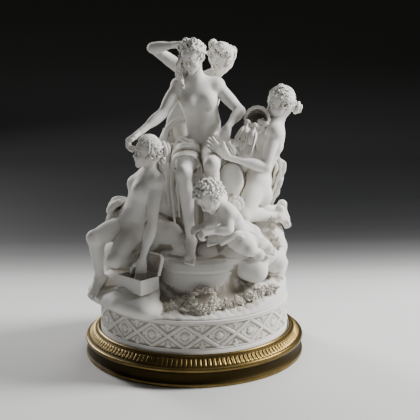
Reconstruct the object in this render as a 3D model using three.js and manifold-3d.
// A white bisque porcelain group: a seated goddess is dressed by three attendants, with a winged child at
// their feet, on a cloud bank. The group stands on a bisque drum with a lattice band, and the drum sits in
// a gilt bronze stand. Millimetres, +Z up, the front faces -Y, and the origin is the centre of the underside.
import * as THREE from "three";
import { mergeVertices } from "three/addons/utils/BufferGeometryUtils.js";
import Module from "manifold-3d";

const wasm = await Module();
wasm.setup();

// Driving sizes
const standRadius = 140;
const standHeight = 36;
const drumRadius = 120.5;
const drumFoot = 14;
const drumTop = 76;
const head = 38; // a grown figure's head, chin to crown: every body size below is a share of it
const childHead = 36;
const childBody = 29; // the child's limbs are sized as if its head were this tall
const groupTriangles = 8400;

// Small helpers for points and directions
const point = (xyz) => new THREE.Vector3(...xyz);
const between = (a, b, t) => a.clone().lerp(b, t);
const direction = (from, to) => to.clone().sub(from).normalize();
const along = (start, way, distance) => start.clone().addScaledVector(way, distance);

// Three axes at right angles: up is kept, and side comes as near to the wanted side as it can.
function axes(up, wantedSide) {
  const z = up.clone().normalize();
  const x = wantedSide.clone().addScaledVector(z, -wantedSide.dot(z));
  if (x.length() < 1e-3) x.set(z.y, z.z, z.x).addScaledVector(z, -z.dot(new THREE.Vector3(z.y, z.z, z.x)));
  x.normalize();
  return { side: x, front: z.clone().cross(x), up: z };
}

// From geometry to a solid that can be joined or cut, and back
function solid(geometry) {
  const bare = geometry.clone();
  bare.deleteAttribute("normal");
  bare.deleteAttribute("uv");
  const merged = mergeVertices(bare, 1e-4);
  return new wasm.Manifold(
    new wasm.Mesh({
      numProp: 3,
      vertProperties: new Float32Array(merged.attributes.position.array),
      triVerts: new Uint32Array(merged.index.array),
    }),
  );
}

function join(solids) {
  let level = solids.flat(Infinity);
  while (level.length > 1) {
    const next = [];
    for (let i = 0; i < level.length; i += 2) {
      next.push(i + 1 < level.length ? level[i].add(level[i + 1]) : level[i]);
    }
    level = next;
  }
  return level[0];
}

function geometryOf(made) {
  const mesh = made.getMesh();
  const geometry = new THREE.BufferGeometry();
  const places = new Float32Array(mesh.numVert * 3);
  for (let i = 0; i < mesh.numVert; i++) {
    places.set(mesh.vertProperties.subarray(i * mesh.numProp, i * mesh.numProp + 3), i * 3);
  }
  geometry.setAttribute("position", new THREE.BufferAttribute(places, 3));
  geometry.setIndex(new THREE.BufferAttribute(new Uint32Array(mesh.triVerts), 1));
  geometry.computeVertexNormals();
  return geometry;
}

// A skin of about the wanted number of triangles: edges close up, the flattest first, and it stays whole.
// Each point keeps the sum of the planes round it, and an edge costs what the new point strays from them.
function thinned(geometry, wanted, floor) {
  const sliver = 0.02; // twice the area of a face that is too thin to count
  const mostTurn = 0.35; // the cosine of the angle that a face may turn through
  const lengthCost = 1e-3;
  const points = Array.from({ length: geometry.attributes.position.count }, (_, i) =>
    new THREE.Vector3().fromBufferAttribute(geometry.attributes.position, i),
  );
  const faces = [];
  for (let i = 0; i < geometry.index.count; i += 3) {
    faces.push([0, 1, 2].map((k) => geometry.index.getX(i + k)));
  }
  const fans = points.map(() => new Set());
  faces.forEach((face, f) => face.forEach((v) => fans[v].add(f)));
  const planes = points.map(() => new Array(10).fill(0));
  const edgeOne = new THREE.Vector3();
  const edgeTwo = new THREE.Vector3();
  const cross = ([a, b, c]) => edgeOne.subVectors(b, a).cross(edgeTwo.subVectors(c, a)).clone();
  for (const face of faces) {
    const normal = cross(face.map((v) => points[v]));
    const area = normal.length() / 2;
    normal.normalize();
    const n = [normal.x, normal.y, normal.z, -normal.dot(points[face[0]])];
    for (const v of face) {
      let k = 0;
      for (let i = 0; i < 4; i++) for (let j = i; j < 4; j++) planes[v][k++] += area * n[i] * n[j];
    }
  }
  const strays = (q, { x, y, z }) =>
    q[0] * x * x + q[4] * y * y + q[7] * z * z + q[9] +
    2 * (q[1] * x * y + q[2] * x * z + q[3] * x + q[5] * y * z + q[6] * y + q[8] * z);
  const fixed = (v) => points[v].z < floor;
  const ages = points.map(() => 0);
  const heap = [];
  const sink = (i) => {
    for (;;) {
      let least = i;
      for (const child of [2 * i + 1, 2 * i + 2]) {
        if (child < heap.length && heap[child].cost < heap[least].cost) least = child;
      }
      if (least === i) return;
      [heap[i], heap[least]] = [heap[least], heap[i]];
      i = least;
    }
  };
  const push = (entry) => {
    let i = heap.push(entry) - 1;
    while (i && heap[(i - 1) >> 1].cost > heap[i].cost) {
      [heap[i], heap[(i - 1) >> 1]] = [heap[(i - 1) >> 1], heap[i]];
      i = (i - 1) >> 1;
    }
  };
  const pop = () => {
    const top = heap[0];
    const last = heap.pop();
    if (heap.length) {
      heap[0] = last;
      sink(0);
    }
    return top;
  };
  const consider = (u, v) => {
    if (fixed(u) && fixed(v)) return;
    const q = planes[u].map((value, i) => value + planes[v][i]);
    const free = [points[u], points[v], between(points[u], points[v], 0.5)];
    const places = fixed(u) ? [points[u]] : fixed(v) ? [points[v]] : free;
    const costs = places.map((p) => Math.max(0, strays(q, p)));
    const best = costs.indexOf(Math.min(...costs));
    const length = points[u].distanceToSquared(points[v]);
    const cost = costs[best] + lengthCost * length;
    push({ cost, u, v, place: places[best].clone(), age: ages[u] + ages[v] });
  };
  const neighbours = (v) => {
    const found = new Set();
    for (const f of fans[v]) for (const w of faces[f]) if (w !== v) found.add(w);
    return found;
  };
  const holds = (u, v, place) => {
    for (const v0 of [u, v]) {
      for (const f of fans[v0]) {
        if (faces[f].includes(u) && faces[f].includes(v)) continue;
        const before = cross(faces[f].map((w) => points[w]));
        const after = cross(faces[f].map((w) => (w === v0 ? place : points[w])));
        const turnsOver = before.dot(after) < mostTurn * before.length() * after.length();
        if (after.length() < sliver || (before.length() > sliver && turnsOver)) return false;
      }
    }
    return true;
  };
  points.forEach((_, v) => neighbours(v).forEach((w) => w > v && consider(v, w)));
  let left = faces.length;
  while (left > wanted && heap.length) {
    const { u, v, place, age } = pop();
    if (!fans[u].size || !fans[v].size || age !== ages[u] + ages[v]) continue;
    const around = neighbours(u);
    const shared = [...neighbours(v)].filter((w) => around.has(w));
    if (shared.length !== 2 || !around.has(v) || !holds(u, v, place)) continue;
    for (const f of [...fans[v]]) {
      if (faces[f].includes(u)) {
        for (const w of faces[f]) fans[w].delete(f);
        faces[f] = null;
        left--;
      } else {
        faces[f] = faces[f].map((w) => (w === v ? u : w));
        fans[u].add(f);
      }
    }
    fans[v].clear();
    points[u] = place;
    planes[u] = planes[u].map((value, i) => value + planes[v][i]);
    ages[u] += ages[v] + 1;
    for (const w of neighbours(u)) consider(u, w);
  }
  const thin = new THREE.BufferGeometry().setFromPoints(points);
  thin.setIndex(faces.filter(Boolean).flat());
  thin.computeVertexNormals();
  return mergeVertices(thin, 1e-5);
}

// A closed skin over rings of points. Each ring runs anticlockwise about the way from the first to the last.
function loft(rings) {
  const count = rings[0].length;
  const middle = (ring) => ring.reduce((sum, p) => sum.add(p), new THREE.Vector3()).divideScalar(count);
  const points = [...rings.flat(), middle(rings[0]), middle(rings.at(-1))];
  const index = [];
  const last = (rings.length - 1) * count;
  for (let j = 0; j < count; j++) {
    const next = (j + 1) % count;
    index.push(points.length - 2, next, j, points.length - 1, last + j, last + next);
    for (let i = 0; i < rings.length - 1; i++) {
      const low = i * count;
      const high = low + count;
      index.push(low + j, low + next, high + next, low + j, high + next, high + j);
    }
  }
  const geometry = new THREE.BufferGeometry().setFromPoints(points);
  geometry.setIndex(index);
  return solid(geometry);
}

function ring(centre, frame, halfSide, halfFront, count, ripple = () => 1) {
  return Array.from({ length: count }, (_, k) => {
    const angle = (2 * Math.PI * k) / count;
    const grow = ripple(angle);
    const p = along(centre, frame.side, halfSide * grow * Math.cos(angle));
    return p.addScaledVector(frame.front, halfFront * grow * Math.sin(angle));
  });
}

// A limb: rings along a line of points. A station is [place, half width, half depth], and place 1.4 is
// four tenths of the way from the second point to the third. A ring at a bend lies between its two runs.
function limb(path, stations, wantedSide, count = 8) {
  const last = path.length - 2;
  const ways = path.slice(1).map((p, i) => direction(path[i], p));
  return loft(
    stations.map(([t, a, b, ripple]) => {
      const run = Math.min(last, Math.max(0, Math.floor(t)));
      const bend = Math.round(t);
      const atBend = Math.abs(t - bend) < 0.13 && bend > 0 && bend <= last;
      const way = atBend ? ways[bend - 1].clone().add(ways[bend]).normalize() : ways[run];
      const centre = path[run].clone().addScaledVector(path[run + 1].clone().sub(path[run]), t - run);
      return ring(centre, axes(way, wantedSide), a, b ?? a, count, ripple);
    }),
  );
}

// A tube along a smooth curve through a few points, thinner at its ends
function strand(points, radius, steps = 4, count = 4) {
  const curve = new THREE.CatmullRomCurve3(points.map(point));
  const rings = [];
  for (let i = 0; i <= steps; i++) {
    const frame = axes(curve.getTangent(i / steps), new THREE.Vector3(0.31, 0.52, 0.79));
    const thick = radius * (0.5 + 0.5 * Math.sin(Math.PI * (0.1 + (0.8 * i) / steps)));
    rings.push(ring(curve.getPoint(i / steps), frame, thick, thick, count));
  }
  return loft(rings);
}

// An egg shape, turned to stand in its own three axes
function ball(centre, half, frame, across = 10, high = 7) {
  const geometry = new THREE.SphereGeometry(1, across, high).rotateX(Math.PI / 2);
  const sizes = Array.isArray(half) ? half : [half, half, half];
  const basis = new THREE.Matrix4();
  if (frame) basis.makeBasis(frame.side, frame.front, frame.up);
  basis.setPosition(centre).multiply(new THREE.Matrix4().makeScale(...sizes));
  return solid(geometry.applyMatrix4(basis));
}

// Body sizes as shares of the head: each row is [place along its line of points, half width, half depth]
const trunkShape = [
  [-0.5, 0.36, 0.4],
  [-0.05, 0.8, 0.54],
  [0.5, 0.71, 0.47],
  [1, 0.6, 0.4],
  [1.6, 0.62, 0.45],
  [2, 0.65, 0.47],
  [2.5, 0.66, 0.4],
  [2.8, 0.46, 0.3],
  [3.05, 0.25, 0.25],
  [3.6, 0.21, 0.23],
  [4, 0.2, 0.22],
];
const thighShape = [
  [-0.05, 0.34],
  [0.2, 0.41],
  [0.6, 0.35],
  [0.92, 0.27],
  [1.06, 0.2],
];
const calfShape = [
  [-0.08, 0.19],
  [0.06, 0.255],
  [0.32, 0.265],
  [0.85, 0.145],
  [1, 0.15],
];
const footShape = [
  [-0.1, 0.08, 0.09],
  [0.1, 0.15, 0.19],
  [0.4, 0.16, 0.19],
  [0.8, 0.19, 0.1],
  [1.03, 0.13, 0.05],
];
const upperArmShape = [
  [-0.17, 0.13],
  [0.03, 0.25],
  [0.45, 0.22],
  [0.95, 0.18],
  [1.07, 0.12],
];
const forearmShape = [
  [-0.07, 0.13],
  [0.25, 0.195],
  [0.92, 0.115, 0.1],
  [1.3, 0.1, 0.16],
  [1.55, 0.085, 0.17],
  [1.85, 0.06, 0.15],
  [2.02, 0.04, 0.1],
];
const thumbShape = [
  [0, 0.075],
  [1, 0.045],
];

function scaled(stations, size) {
  return stations.map(([t, a, b]) => [t, a * size, (b ?? a) * size]);
}

// The trunk and neck: from the line of the hips to the line of the shoulders
function trunk(spine, hipLine, shoulderLine, size) {
  const path = [spine.pelvis, spine.waist, spine.chest, spine.neck, spine.throat];
  return loft(
    trunkShape.map(([t, a, b]) => {
      const run = Math.min(3, Math.max(0, Math.floor(t)));
      const line = between(hipLine, shoulderLine, Math.min(1, t / 2));
      const frame = axes(direction(path[run], path[run + 1]), line);
      const centre = path[run].clone().addScaledVector(path[run + 1].clone().sub(path[run]), t - run);
      return ring(centre, frame, a * size, b * size, 12);
    }),
  );
}

// A foot from the heel, behind the ankle, to the toes; its sole faces away from the knee
function foot(knee, ankle, toe, size) {
  const shin = direction(knee, ankle);
  const step = direction(ankle, toe);
  const heel = along(along(ankle, step, -0.14 * size), shin, 0.08 * size);
  return limb([heel, toe], scaled(footShape, size), step.clone().cross(shin));
}

// A head with a calm, general face: one skin from the chin to the crown, with a small nose
const headShape = [
  [-0.47, 0.08, 0.08, 0.24],
  [-0.34, 0.21, 0.21, 0.15],
  [-0.12, 0.28, 0.34, 0.05],
  [0.12, 0.33, 0.4, 0],
  [0.36, 0.28, 0.36, -0.03],
  [0.5, 0.1, 0.14, -0.04],
];
const noseShape = [
  [0, 0.02],
  [1, 0.05],
];

function face(pose, size) {
  const centre = point(pose.at);
  const wanted = point(pose.face).normalize();
  const frame = axes(point(pose.up), point(pose.up).cross(wanted).negate());
  if (frame.front.dot(wanted) < 0) {
    frame.side.negate();
    frame.front.negate();
  }
  const place = (s, f, u) => {
    const p = along(centre, frame.side, s * size);
    return p.addScaledVector(frame.front, f * size).addScaledVector(frame.up, u * size);
  };
  const skull = loft(headShape.map(([u, a, b, f]) => ring(place(0, f, u), frame, a * size, b * size, 10)));
  const nose = limb([place(0, 0.34, 0.06), place(0, 0.4, -0.12)], scaled(noseShape, size), frame.side, 3);
  return { frame, place, solids: [skull, nose] };
}

function arm(side, size) {
  const [shoulder, elbow, wrist, fingers] = ["shoulder", "elbow", "wrist", "fingers"].map((name) =>
    point(side[name]),
  );
  const thumb = point(side.thumb).normalize();
  const palm = along(between(wrist, fingers, 0.12), thumb, 0.05 * size);
  const thumbTip = along(between(wrist, fingers, 0.58), thumb, 0.2 * size);
  return [
    limb([shoulder, elbow], scaled(upperArmShape, size), new THREE.Vector3(0, 1, 0)),
    limb([elbow, wrist, fingers], scaled(forearmShape, size), thumb.clone().cross(direction(wrist, fingers))),
    limb([palm, thumbTip], scaled(thumbShape, size), thumb, 4),
  ];
}

function leg(side, size) {
  const [hip, knee, ankle, toe] = ["hip", "knee", "ankle", "toe"].map((name) => point(side[name]));
  const across = direction(hip, knee).cross(direction(knee, ankle)).add(new THREE.Vector3(0.01, 0, 0));
  return [
    limb([hip, knee], scaled(thighShape, size), across),
    limb([knee, ankle], scaled(calfShape, size), across),
    foot(knee, ankle, toe, size),
  ];
}

// A whole figure from its pose. Points are in millimetres; left and right are the figure's own.
function figure(pose, size, headSize = size) {
  const spine = Object.fromEntries(Object.entries(pose.spine).map(([name, xyz]) => [name, point(xyz)]));
  const line = (part) => direction(point(pose.right[part]), point(pose.left[part]));
  const headMade = face(pose.head, headSize);
  spine.throat = headMade.place(0, -0.06, -0.22);
  const made = [trunk(spine, line("hip"), line("shoulder"), size), ...headMade.solids];
  for (const side of [pose.left, pose.right]) {
    if (side.elbow) made.push(...arm(side, size));
    if (side.knee) made.push(...leg(side, size));
  }
  return { made, spine, shoulderLine: line("shoulder"), head: headMade };
}

// The soft swell of the chest on a grown figure
function bosom(body, size) {
  const frame = axes(direction(body.spine.chest, body.spine.neck), body.shoulderLine);
  const forward = frame.front.clone().negate();
  return [-1, 1].map((s) => {
    const centre = along(along(body.spine.chest, frame.side, s * 0.28 * size), forward, 0.25 * size);
    return ball(centre, 0.26 * size, null, 9, 7);
  });
}

// Hair: a cap of waved locks over the skull, and the knots asked for
const hairShape = [
  [-0.26, 0.3, 0.3, -0.2],
  [-0.06, 0.375, 0.4, -0.13],
  [0.16, 0.41, 0.46, -0.05],
  [0.38, 0.36, 0.42, -0.04],
  [0.56, 0.16, 0.2, -0.05],
];

function hair(headMade, size, knots, locks = 6) {
  const { place, frame } = headMade;
  const wave = (row) => (angle) => 1 + 0.06 * Math.cos(locks * angle + Math.PI * (row % 2));
  const rings = hairShape.map(([u, a, b, f], row) =>
    ring(place(0, f, u), frame, a * size, b * size, locks * 3, wave(row)),
  );
  return [loft(rings), ...knots.map(([s, f, u, r]) => ball(place(s, f, u), r * size, frame, 8, 6))];
}

// The four grown figures and the child: joints where the pose puts them
const goddess = {
  spine: { pelvis: [12, 12, 263], waist: [14, 12, 292], chest: [9, 9, 320], neck: [6, 9, 347] },
  head: { at: [1, 0, 376], face: [-0.38, -0.85, -0.36], up: [-0.16, -0.32, 0.93] },
  left: {
    shoulder: [31, 11, 340],
    elbow: [60, 6, 308],
    wrist: [41, -18, 291],
    fingers: [33, -32, 268],
    thumb: [-1, 0, 0],
    hip: [23, 7, 260],
    knee: [23, -58, 253],
    ankle: [26, -48, 176],
    toe: [22, -78, 164],
  },
  right: {
    shoulder: [-16, 11, 340],
    elbow: [-36, -6, 308],
    wrist: [-65, -28, 287],
    fingers: [-85, -37, 266],
    thumb: [-0.6, 0, -0.8],
    hip: [-4, 7, 260],
    knee: [-10, -64, 244],
    ankle: [-3, -60, 159],
    toe: [-6, -88, 142],
  },
};
const leftNymph = {
  spine: { pelvis: [-79, -22, 168], waist: [-67, -29, 195], chest: [-59, -34, 218], neck: [-50, -33, 241] },
  head: { at: [-55, -38, 264], face: [-0.93, -0.33, 0.1], up: [0.1, 0.05, 0.99] },
  left: {
    shoulder: [-44, -48, 232],
    elbow: [-50, -62, 178],
    wrist: [-62, -74, 140],
    fingers: [-68, -84, 112],
    thumb: [-1, -0.2, 0],
    hip: [-73, -36, 165],
    knee: [-95, -67, 138],
    ankle: [-62, -43, 126],
    toe: [-46, -28, 122],
  },
  right: {
    shoulder: [-58, -17, 229],
    elbow: [-62, 6, 192],
    wrist: [-80, -8, 185],
    fingers: [-98, -20, 187],
    thumb: [0, 0, 1],
    hip: [-81, -10, 167],
    knee: [-120, -60, 164],
    ankle: [-116, -49, 110],
    toe: [-130, -66, 94],
  },
};
const rightNymph = {
  spine: { pelvis: [81, 0, 220], waist: [87, -3, 247], chest: [96, -6, 271], neck: [102, -8, 296] },
  head: { at: [109, -8, 319], face: [-0.98, -0.1, -0.16], up: [-0.12, 0.02, 0.99] },
  left: {
    shoulder: [101, -26, 285],
    elbow: [89, -38, 245],
    wrist: [45, -52, 260],
    fingers: [23, -58, 276],
    thumb: [0, 0.3, 1],
    hip: [80, -15, 219],
    knee: [61, -46, 187],
    ankle: [106, -14, 178],
    toe: [116, -8, 158],
  },
  right: {
    shoulder: [93, 12, 286],
    elbow: [70, 8, 262],
    wrist: [54, -16, 272],
    fingers: [42, -34, 280],
    thumb: [0, 0, 1],
    hip: [82, 14, 217],
    knee: [72, -4, 186],
    ankle: [110, 18, 178],
    toe: [117, 24, 156],
  },
};
const backNymph = {
  spine: { pelvis: [-15, 48, 264], waist: [-10, 47, 292], chest: [2, 45, 318], neck: [21, 40, 344] },
  head: { at: [38, 34, 369], face: [-0.78, -0.42, -0.46], up: [-0.3, -0.32, 0.9] },
  left: {
    shoulder: [31, 50, 330],
    elbow: [24, 50, 302],
    wrist: [28, 30, 322],
    fingers: [24, 18, 342],
    thumb: [-1, 0, 0],
    hip: [-8, 50, 260],
  },
  right: {
    shoulder: [-3, 37, 350],
    elbow: [-48, 30, 385],
    wrist: [-21, 14, 390],
    fingers: [2, 0, 396],
    thumb: [0, -0.7, -0.7],
    hip: [-26, 45, 260],
  },
  feet: [
    { knee: [-38, 44, 186], ankle: [-36, 84, 106], toe: [-44, 104, 92] },
    { knee: [-4, 50, 188], ankle: [2, 86, 106], toe: [2, 108, 92] },
  ],
};
const child = {
  spine: { pelvis: [57, -72, 170], waist: [50, -74, 181], chest: [43, -78, 193], neck: [34, -81, 206] },
  head: { at: [20, -85, 218], face: [-0.7, -0.4, -0.6], up: [-0.62, -0.2, 0.76] },
  left: {
    shoulder: [42, -89, 199],
    elbow: [41, -97, 182],
    wrist: [23, -100, 181],
    fingers: [8, -102, 180],
    thumb: [0, 0, 1],
    hip: [53, -80, 167],
    knee: [66, -87, 156],
    ankle: [78, -83, 147],
    toe: [86, -84, 142],
  },
  right: {
    shoulder: [32, -68, 200],
    elbow: [24, -72, 185],
    wrist: [12, -78, 181],
    fingers: [2, -83, 179],
    thumb: [0, 0, 1],
    hip: [62, -66, 168],
    knee: [78, -66, 157],
    ankle: [90, -64, 150],
    toe: [98, -64, 146],
  },
};

function makeGoddess() {
  const body = figure(goddess, head);
  const knots = [
    [-0.14, 0, 0.58, 0.14],
    [0.14, 0.02, 0.6, 0.13],
    [0.3, 0.14, 0.42, 0.12],
  ];
  const longLocks = [
    strand([[-12, 2, 376], [-14, 0, 362], [-10, -1, 350], [-8, 0, 338]], 5),
    strand([[-9, 12, 368], [-12, 12, 354], [-9, 15, 340], [-3, 18, 326]], 5),
  ];
  return [...body.made, ...bosom(body, head), ...hair(body.head, head, knots), ...longLocks];
}

function makeLeftNymph() {
  const body = figure(leftNymph, head);
  const knots = [
    [0.05, -0.55, 0.16, 0.25],
    [0, -0.25, 0.46, 0.15],
  ];
  const tail = strand([[-37, -36, 264], [-34, -38, 252], [-36, -40, 242], [-34, -38, 232]], 5);
  return [...body.made, ...bosom(body, head), ...hair(body.head, head, knots), tail];
}

function makeRightNymph() {
  const body = figure(rightNymph, head);
  const knots = [
    [0, -0.52, -0.26, 0.2],
    [0, -0.34, -0.16, 0.2],
    [0, -0.1, 0.5, 0.15],
  ];
  return [...body.made, ...bosom(body, head), ...hair(body.head, head, knots)];
}

// The attendant behind: her legs are lost in her skirt, and her feet show below it
function makeBackNymph() {
  const body = figure(backNymph, head);
  const knots = [
    [-0.2, -0.02, 0.56, 0.14],
    [0.18, -0.06, 0.56, 0.14],
    [0, -0.42, 0.1, 0.2],
  ];
  const feet = backNymph.feet.map(({ knee, ankle, toe }) =>
    foot(point(knee), point(ankle), point(toe), head),
  );
  return [...body.made, ...bosom(body, head), ...hair(body.head, head, knots), ...feet];
}

// A stubby wing: a rounded fan, rippled into feathers
const wingShape = [
  [-0.1, 0.1, 0.09],
  [0.35, 0.28, 0.1],
  [0.8, 0.3, 0.07],
  [1.05, 0.16, 0.04],
];

function makeChild() {
  const body = figure(child, childBody, childHead);
  const made = [...body.made, ...hair(body.head, childHead, [], 7)];
  const curls = 11;
  for (let k = 0; k < curls; k++) {
    const height = 0.95 - (1.1 * k) / curls;
    const reach = 0.44 * Math.sqrt(1 - height * height);
    const turn = 2.4 * k;
    const at = body.head.place(reach * Math.cos(turn), reach * Math.sin(turn) - 0.08, 0.5 * height + 0.12);
    made.push(ball(at, 0.16 * childHead, null, 6, 5));
  }
  const wings = [
    { root: [46, -74, 199], tip: [58, -68, 215] },
    { root: [35, -64, 204], tip: [35, -60, 227] },
  ];
  for (const { root, tip } of wings) {
    made.push(limb([point(root), point(tip)], scaled(wingShape, head), new THREE.Vector3(0.4, 0.1, 0.9)));
  }
  return made;
}

// Cloth that hangs or wraps: rings along a run, rippled into folds.
// A row is [x, y, z, half width, half depth].
function cloth(rows, wantedSide, folds, depth) {
  const path = rows.map(([x, y, z]) => point([x, y, z]));
  const ripple = (angle) => 1 + depth * Math.cos(folds * angle);
  return loft(
    rows.map(([, , , a, b], i) => {
      const way = direction(path[Math.max(0, i - 1)], path[Math.min(path.length - 1, i + 1)]);
      return ring(path[i], axes(way, point(wantedSide)), a, b, folds * 3, ripple);
    }),
  );
}

function makeDrapery() {
  const [hip, knee] = [point(goddess.right.hip), point(goddess.right.knee)];
  const thighFolds = 4;
  const wrap = [[-0.12, 12]];
  for (let k = 0; k < thighFolds; k++) {
    const t = 0.04 + 0.14 * k;
    wrap.push([t, 18 - 0.3 * k], [t + 0.07, 15.6 - 0.3 * k]);
  }
  const overLap = [
    [-16, 0, 270, 9, 9],
    [-2, -16, 264, 9, 10],
    [8, -24, 250, 8, 10],
    [8, -32, 222, 5, 8],
  ];
  const besideLeg = [
    [-20, -6, 264, 13, 11],
    [-27, -14, 232, 16, 13],
    [-28, -20, 196, 18, 14],
    [-24, -30, 136, 22, 16],
  ];
  const skirt = [
    [-19, 46, 278, 19, 15],
    [-20, 48, 258, 24, 20],
    [-20, 51, 210, 31, 25],
    [-17, 58, 100, 46, 34],
  ];
  const sash = [
    [98, 6, 252, 5, 7],
    [105, 4, 235, 8, 10],
    [102, 6, 219, 7, 9],
    [98, 8, 203, 6, 8],
    [96, 12, 188, 4, 5],
  ];
  const seat = [
    [-90, -10, 198, 9, 9],
    [-93, -8, 184, 11, 12],
    [-94, 4, 158, 14, 19],
    [-94, 12, 118, 19, 28],
  ];
  return [
    limb([hip, knee], wrap, new THREE.Vector3(1, 0, 0), 12),
    cloth(overLap, [0, 1, 0], 4, 0.12),
    cloth(besideLeg, [1, 0, 0], 6, 0.1),
    cloth(skirt, [1, 0, 0], 9, 0.07),
    cloth(sash, [0, 1, 0], 4, 0.12),
    cloth(seat, [1, 0, 0], 5, 0.08),
  ];
}

// The terrace has a low rim in front and a high one at the right and behind. Its top slopes up to the cloud.
const terrace = { edge: 118.2, front: 78.5, back: 96, slope: 0.34, plateau: 101, blend: 40 };
const terraceTurns = { right: -62, left: 195 }; // where the high part of the rim starts and ends, in degrees

function groundHeight(x, y) {
  const turn = THREE.MathUtils.radToDeg(Math.atan2(y, x));
  const fromFront = turn < -90 ? turn + 360 : turn;
  const rightRise = THREE.MathUtils.clamp((turn - terraceTurns.right) / terrace.blend, 0, 1);
  const leftRise = THREE.MathUtils.clamp((terraceTurns.left - fromFront) / terrace.blend, 0, 1);
  const rise = THREE.MathUtils.smoothstep(rightRise * leftRise, 0, 1);
  const rim = THREE.MathUtils.lerp(terrace.front, terrace.back, rise);
  return Math.min(rim + terrace.slope * (terrace.edge - Math.hypot(x, y)), terrace.plateau);
}

// The terrace, its ledge and the bank of cloud that carries the figures. Rows are [z, half x, half y, x, y].
function makeGround() {
  const flat = axes(new THREE.Vector3(0, 0, 1), new THREE.Vector3(1, 0, 0));
  const pile = (rows, count) =>
    loft(rows.map(([z, a, b, x, y]) => ring(point([x, y, z]), flat, a, b, count)));
  const circle = (r) => ring(point([0, 0, drumTop]), flat, r, r, 36);
  const slope = [terrace.edge, 96, 74, 50].map(circle);
  for (const level of slope) for (const p of level) p.z = groundHeight(p.x, p.y);
  const mound = [
    [80, 92, 88, 0, 6],
    [100, 84, 82, 3, 10],
    [112, 76, 76, 5, 12],
    [150, 60, 55, 10, 15],
    [206, 43, 39, 10, 18],
    [250, 26, 24, 8, 14],
  ];
  const ledge = [
    [80, 47, 34, 8, -46],
    [121, 47, 34, 8, -46],
    [134, 44, 31, 8, -45],
    [138, 38, 26, 8, -43],
  ];
  const made = [loft([circle(terrace.edge + 0.3), ...slope]), pile(mound, 24), pile(ledge, 16)];
  // Lobes of cloud: place and radius
  const lobes = [
    [74, -58, 120, 20],
    [86, -44, 138, 19],
    [102, -30, 124, 17],
    [102, -14, 112, 19],
    [100, -14, 138, 18],
    [76, -42, 150, 16],
    [33, -54, 130, 15],
    [46, -50, 140, 17],
    [54, -12, 208, 24],
    [44, -32, 178, 21],
    [46, -27, 222, 18],
    [76, 20, 168, 30],
    [92, 8, 120, 28],
    [92, -2, 152, 22],
    [-62, -22, 130, 28],
    [-90, -10, 128, 28],
    [-96, -36, 102, 24],
    [-49, -27, 158, 22],
    [-37, -3, 196, 23],
    [-14, -44, 146, 15],
    [30, 6, 236, 23],
    [-6, 10, 233, 25],
  ];  for (const [x, y, z, r] of lobes) made.push(ball(point([x, y, z]), [r, r, r * 0.92], null, 10, 7));
  const backLobes = 7;
  for (let k = 0; k < backLobes; k++) {
    const angle = Math.PI * (0.06 + (0.88 * k) / (backLobes - 1));
    const [reach, z, r] = k % 2 ? [66, 132, 24] : [80, 104, 26];
    const at = point([4 + reach * Math.cos(angle), 8 + reach * Math.sin(angle), z]);
    made.push(ball(at, [r, r, r * 0.9], null, 10, 7));
  }
  // Cloth that falls over the terrace edge under the left attendant's foot
  made.push(ball(point([-100, -42, 92]), [30, 34, 17], null, 10, 6));
  made.push(ball(point([-74, -78, 90]), [30, 26, 14], null, 10, 6));
  const below = new THREE.BoxGeometry(4 * drumRadius, 4 * drumRadius, drumTop).translate(0, 0, drumTop / 2);
  return join(made).subtract(solid(below));
}

// An open casket with a raised lid; its near corner points to the front
const casket = {
  corner: [-63, -104, 103],
  length: 44,
  width: 30,
  height: 19,
  wall: 2.2,
  lidHeight: 26,
  lidDepth: 5,
  lidLean: 0.34,
};

function slab(origin, frame, low, high) {
  const size = high.map((value, i) => value - low[i]);
  const middle = high.map((value, i) => (value + low[i]) / 2);
  const basis = new THREE.Matrix4().makeBasis(frame.side, frame.front, frame.up);
  basis.setPosition(origin);
  return solid(new THREE.BoxGeometry(...size).translate(...middle).applyMatrix4(basis));
}

function makeCasket() {
  const { length, width, height, wall, lidHeight, lidDepth, lidLean } = casket;
  const up = new THREE.Vector3(0, 0, 1);
  const front = new THREE.Vector3(-0.7, 0.714, 0); // along the long wall, to the left and back
  const side = front.clone().cross(up); // across the casket, to the right and back
  const corner = point(casket.corner);
  const frame = { side, front, up };
  const body = slab(corner, frame, [0, 0, 0], [width, length, height]);
  const hollow = slab(corner, frame, [wall, wall, wall], [width - wall, length - wall, height + 1]);
  const leaning = along(up, side, lidLean).normalize();
  const lidFrame = { side: front.clone().cross(leaning), front, up: leaning };
  const hinge = along(along(corner, side, width - wall), up, height - 1);
  const lid = slab(hinge, lidFrame, [0, 0, 0], [lidDepth, length, lidHeight]);
  const lidInside = [lidDepth - wall, length - wall, lidHeight - wall];
  const lidHollow = slab(hinge, lidFrame, [-1, wall, wall], lidInside);
  return { shell: body.add(lid.subtract(lidHollow)), hollow };
}

// A dove at rest: one skin from tail to beak, with a folded wing on each side
const doveShape = [
  [-1.1, 0.2, 0.04],
  [-0.5, 0.16, 0.12],
  [-0.1, 0.28, 0.26],
  [0.35, 0.27, 0.26],
  [0.62, 0.14, 0.14],
  [0.82, 0.15, 0.15],
  [1.04, 0.03, 0.03],
];
const foldedWing = [
  [0, 0.1, 0.16],
  [0.5, 0.08, 0.2],
  [1, 0.03, 0.05],
];

function dove(at, way, sideways, size) {
  const frame = axes(way, sideways);
  const place = (s, u) => along(along(at, frame.up, u * size), frame.side, s * size);
  const folded = scaled(foldedWing, size);
  const wing = (s) => limb([place(0.24 * s, 0.3), place(0.16 * s, -0.8)], folded, frame.side, 4);
  return [limb([at, place(0, 1)], scaled(doveShape, size), frame.side), wing(-1), wing(1)];
}

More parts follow.
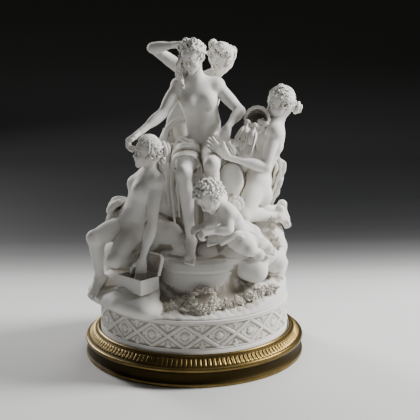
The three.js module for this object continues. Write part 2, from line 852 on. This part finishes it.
function makeDoves() {
  return [
    ...dove(point([72, -37, 277]), point([0.2, 0.25, 0.93]), point([0.9, -0.4, 0]), 23),
    ...dove(point([60, -36, 281]), point([0.3, 0.3, 0.9]), point([0.6, 0.6, 0]), 23),
    ...dove(point([46, -44, 258]), point([-0.1, 0, 1]), point([0.9, 0.3, 0]), 17),
  ];
}

// A flower: a low cup of petals
function flower(at, out, r) {
  const frame = axes(out, new THREE.Vector3(0.6, 0.7, 0.39));
  const cup = [
    [-0.5, 0.5],
    [0.3, 1],
    [0.6, 0.35],
  ];
  return loft(cup.map(([h, grow]) => ring(along(at, frame.up, h * r), frame, r * grow, r * grow, 5)));
}

// The wreath leans on the slope in front, with a garland running out to both sides along the terrace
const wreath = { centre: [11, -98, 96], radius: 14, blooms: 8, bloom: 6, lift: 3.5 };
const garland = [
  [-50, -101],
  [-39, -100],
  [-28, -97],
  [-18, -92],
  [-9, -88],
  [36, -94],
  [46, -89],
  [56, -83],
  [66, -78],
  [76, -72],
  [86, -67],
  [96, -62],
];

function makeFlowers() {
  const centre = point(wreath.centre);
  const frame = axes(new THREE.Vector3(0, -0.7, 0.7), new THREE.Vector3(1, 0, 0));
  const made = [ball(along(centre, frame.up, -5), [16, 16, 7], frame, 8, 4)];
  for (let k = 0; k < wreath.blooms; k++) {
    const angle = (2 * Math.PI * k) / wreath.blooms;
    const out = along(frame.side.clone().multiplyScalar(Math.cos(angle)), frame.front, Math.sin(angle));
    made.push(flower(along(centre, out, wreath.radius), along(frame.up, out, 0.5), wreath.bloom));
  }
  garland.forEach(([x, y], k) => {
    const at = point([x, y, groundHeight(x, y) + wreath.lift]);
    made.push(flower(at, point([0.2 * Math.sin(k * 2), -0.7, 0.7]), 7 - 0.5 * (k % 3)));
  });
  return made;
}

// A round basket of flowers that the right attendant holds against herself, and a spray under her foot
const basket = { mouth: [80, -8, 298], depth: 22, foot: 10, rim: 14, bloom: 5.4 };

function makeBasket() {
  const mouth = point(basket.mouth);
  const out = new THREE.Vector3(-0.25, -0.85, 0.45).normalize();
  const frame = axes(out, new THREE.Vector3(1, 0, 0));
  const side = [
    [0, basket.foot],
    [0.75, basket.rim - 1.6],
    [0.85, basket.rim],
    [1, basket.rim],
  ];
  const made = [limb([along(mouth, out, -basket.depth), mouth], side, frame.side, 10)];
  const blooms = [
    [0, 1],
    [8, 4],
    [-8, 1],
    [2, -8],
    [-2, 9],
  ];
  for (const [s, f] of blooms) {
    made.push(flower(along(along(mouth, frame.side, s), frame.front, f), out, basket.bloom));
  }
  const spray = [
    [103, -30, 162],
    [98, -34, 154],
    [106, -33, 152],
  ];
  for (const xyz of spray) made.push(flower(point(xyz), point([-0.1, -0.9, 0.3]), 6));
  return made;
}

function makeGroup() {
  const box = makeCasket();
  const setting = makeGround().add(box.shell).subtract(box.hollow);
  const attendants = [...makeLeftNymph(), ...makeRightNymph(), ...makeBackNymph()];
  const figures = [...makeGoddess(), ...attendants, ...makeChild()];
  const dressing = [...makeDrapery(), ...makeDoves(), ...makeFlowers(), ...makeBasket()];
  return join([setting, join(figures), join(dressing)]);
}

// A turned ring or drum: the outline is a loop of [radius, height], and relief moves a grid point outwards.
function turned(outline, steps, { relief = () => 0, closed = false, start = 0 }) {
  const rows = outline.length;
  const points = [];
  const index = [];
  for (let i = 0; i < rows; i++) {
    for (let k = 0; k < steps; k++) {
      const angle = start + (2 * Math.PI * k) / steps;
      const r = outline[i][0] + relief(i, k);
      points.push(new THREE.Vector3(r * Math.cos(angle), r * Math.sin(angle), outline[i][1]));
    }
  }
  for (let i = 0; i < (closed ? rows : rows - 1); i++) {
    for (let k = 0; k < steps; k++) {
      const a = i * steps + k;
      const b = i * steps + ((k + 1) % steps);
      const c = ((i + 1) % rows) * steps + ((k + 1) % steps);
      const d = ((i + 1) % rows) * steps + k;
      if ((i + k) % 2) index.push(a, b, d, b, c, d);
      else index.push(a, b, c, a, c, d);
    }
  }
  if (!closed) {
    points.push(new THREE.Vector3(0, 0, outline[0][1]), new THREE.Vector3(0, 0, outline[rows - 1][1]));
    for (let k = 0; k < steps; k++) {
      const next = (k + 1) % steps;
      index.push(points.length - 2, next, k);
      index.push(points.length - 1, (rows - 1) * steps + k, (rows - 1) * steps + next);
    }
  }
  const geometry = new THREE.BufferGeometry().setFromPoints(points);
  geometry.setIndex(index);
  return solid(geometry);
}

// The drum: a band of crossing straps with a rosette in each diamond, between plain borders
const latticeStart = THREE.MathUtils.degToRad(-5.5);
const lattice = { cells: 18, low: 42, high: 71, strap: 1.3, rosette: 1.7, start: latticeStart };

function makeDrum() {
  const { low, high } = lattice;
  const rise = (high - low) / 4;
  const outline = [
    [drumRadius - 1, drumFoot],
    [drumRadius - 1, low],
    [drumRadius - 1, low + rise],
    [drumRadius - 1, low + 2 * rise],
    [drumRadius - 1, low + 3 * rise],
    [drumRadius - 1, high],
    [drumRadius, drumTop],
  ];
  const relief = (i, k) => {
    const row = i - 1;
    const column = k % 4;
    if (row < 0 || row > 4) return 0;
    if (row === 2) return column === 0 ? lattice.strap : column === 2 ? lattice.rosette : 0;
    if (row % 2) return column % 2 ? lattice.strap : 0;
    return column === 2 ? lattice.strap : 0;
  };
  return turned(outline, lattice.cells * 4, { relief, start: lattice.start });
}

// The stand: a moulded ring with a hollow side, a sloping leaf band and an inner lip round the drum
function makeStand() {
  const lip = drumRadius + 0.8;
  const seat = drumRadius - 16;
  const outline = [
    [seat, 0],
    [standRadius - 0.6, 0],
    [standRadius, 4.5],
    [standRadius - 3.2, 9],
    [standRadius - 3, 15],
    [standRadius, 19],
    [standRadius, 23],
    [standRadius - 3, 24.5],
    [standRadius - 13, 32.5],
    [lip + 2.5, standHeight],
    [lip, standHeight - 1],
    [lip, drumFoot],
    [seat, drumFoot],
  ];
  return turned(outline, 48, { closed: true });
}

const bisque = new THREE.MeshStandardMaterial({ color: 0xe9e6dc, roughness: 0.75, metalness: 0 });
const gilt = new THREE.MeshStandardMaterial({ color: 0x9a7a3a, roughness: 0.38, metalness: 1 });

const model = new THREE.Group();
const nodes = [
  ["figure_group", thinned(geometryOf(makeGroup()), groupTriangles, drumTop + 0.01), bisque],
  ["drum_plinth", geometryOf(makeDrum()), bisque],
  ["bronze_stand", geometryOf(makeStand()), gilt],
];
for (const [name, geometry, material] of nodes) {
  const mesh = new THREE.Mesh(geometry, material);
  mesh.name = name;
  model.add(mesh);
}

export default model;
